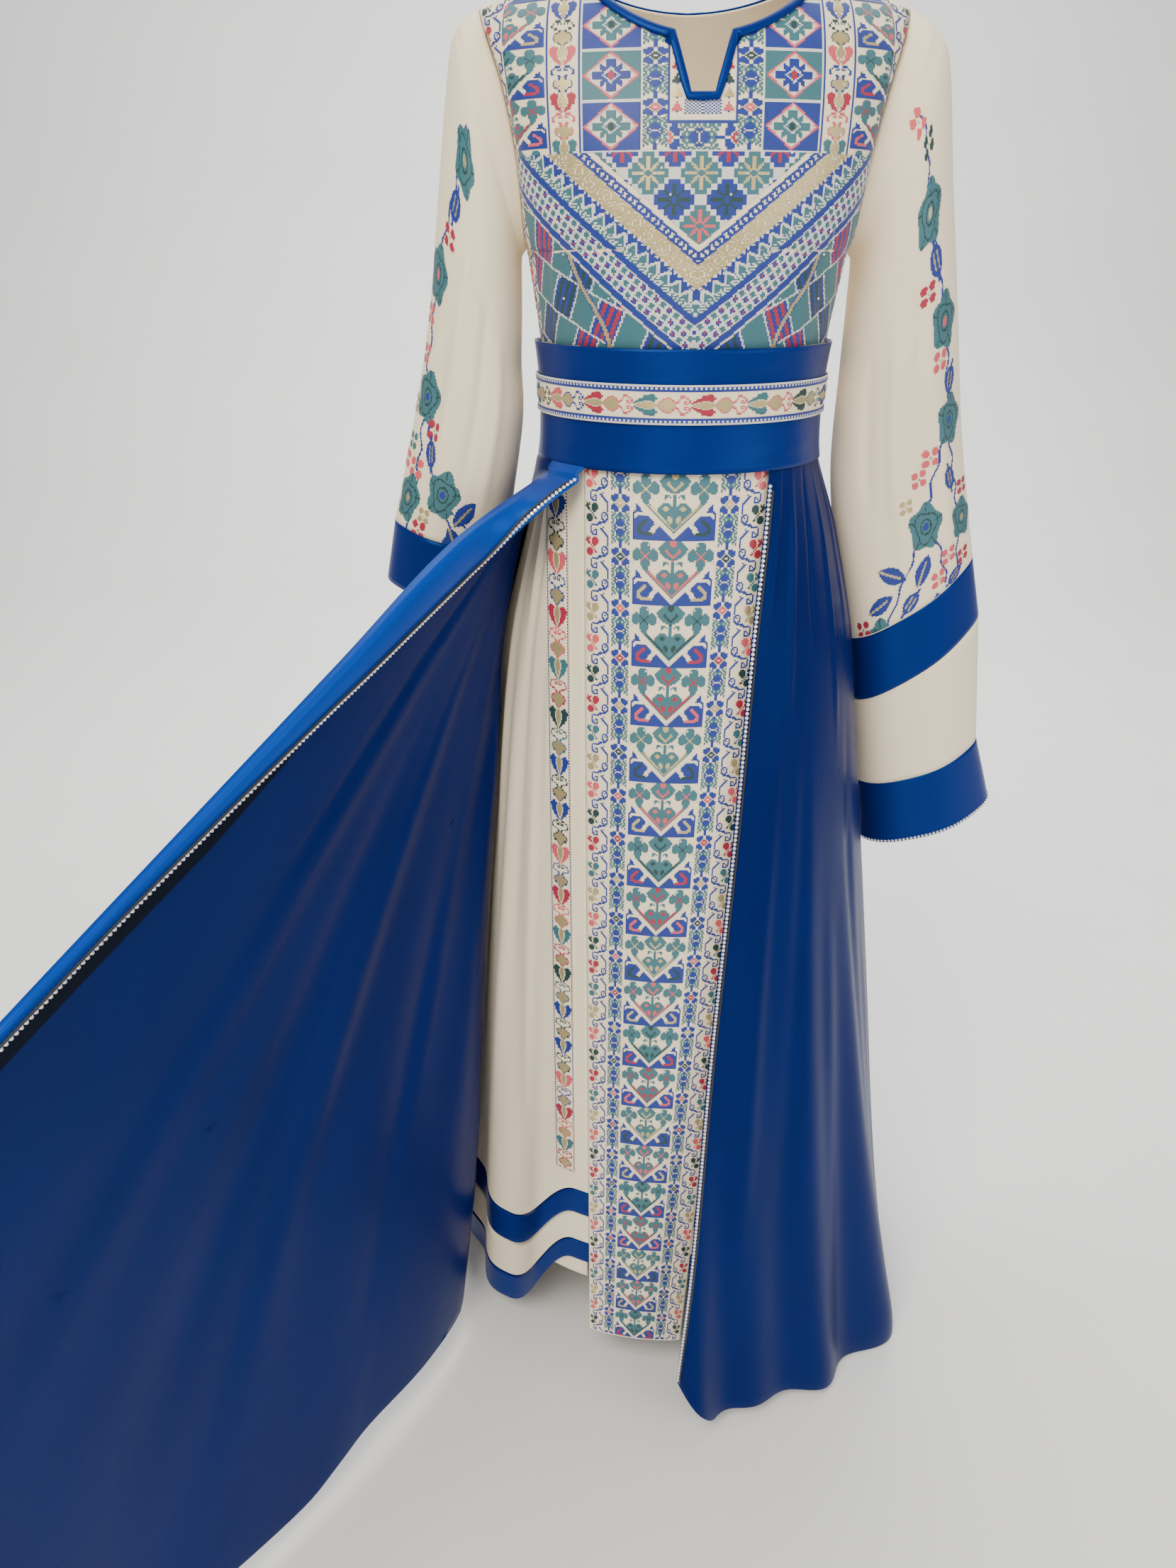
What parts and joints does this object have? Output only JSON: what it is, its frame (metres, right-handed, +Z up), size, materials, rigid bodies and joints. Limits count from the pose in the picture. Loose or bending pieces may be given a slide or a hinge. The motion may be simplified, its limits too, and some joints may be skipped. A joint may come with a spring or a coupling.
{
  "type": "palestinian thobe dress",
  "caption": "Long cream dress with embroidered bodice, panel and sleeves, blue satin belt, cuff and hem bands, and an open satin overskirt lifted at one side, worn form.",
  "frame": {"origin": "midway between the two shoulders, where the wearer's shoulders carry the dress", "axes": "+Z up, -Y towards the dress's front, +X to the viewer's right (the wearer's left)"},
  "size_m": [1.0887, 1.0759, 1.5234],
  "materials": {
    "crepe": "matt cream crepe",
    "satin": "royal blue satin with a soft sheen",
    "embroidery": "dense counted thread embroidery on cream cloth"
  },
  "bodies": {
    "root": {"belt": "satin", "belt_band": "embroidery", "bodice_back": "crepe", "bodice_front": "crepe", "cuff_left": "satin", "cuff_right_lower": "satin", "cuff_right_middle": "crepe", "cuff_right_upper": "satin", "hem_band_lower": "satin", "hem_band_middle": "crepe", "hem_band_upper": "satin", "lining_front_left": "crepe", "neck_binding": "satin", "overskirt_back": "satin", "overskirt_left": "satin", "overskirt_right": "satin", "skirt_back": "crepe", "skirt_front_left": "crepe", "skirt_front_right": "crepe", "skirt_panel": "embroidery", "sleeve_left": "crepe", "sleeve_right": "crepe", "strip_left": "embroidery"}
  },
  "joints": []
}
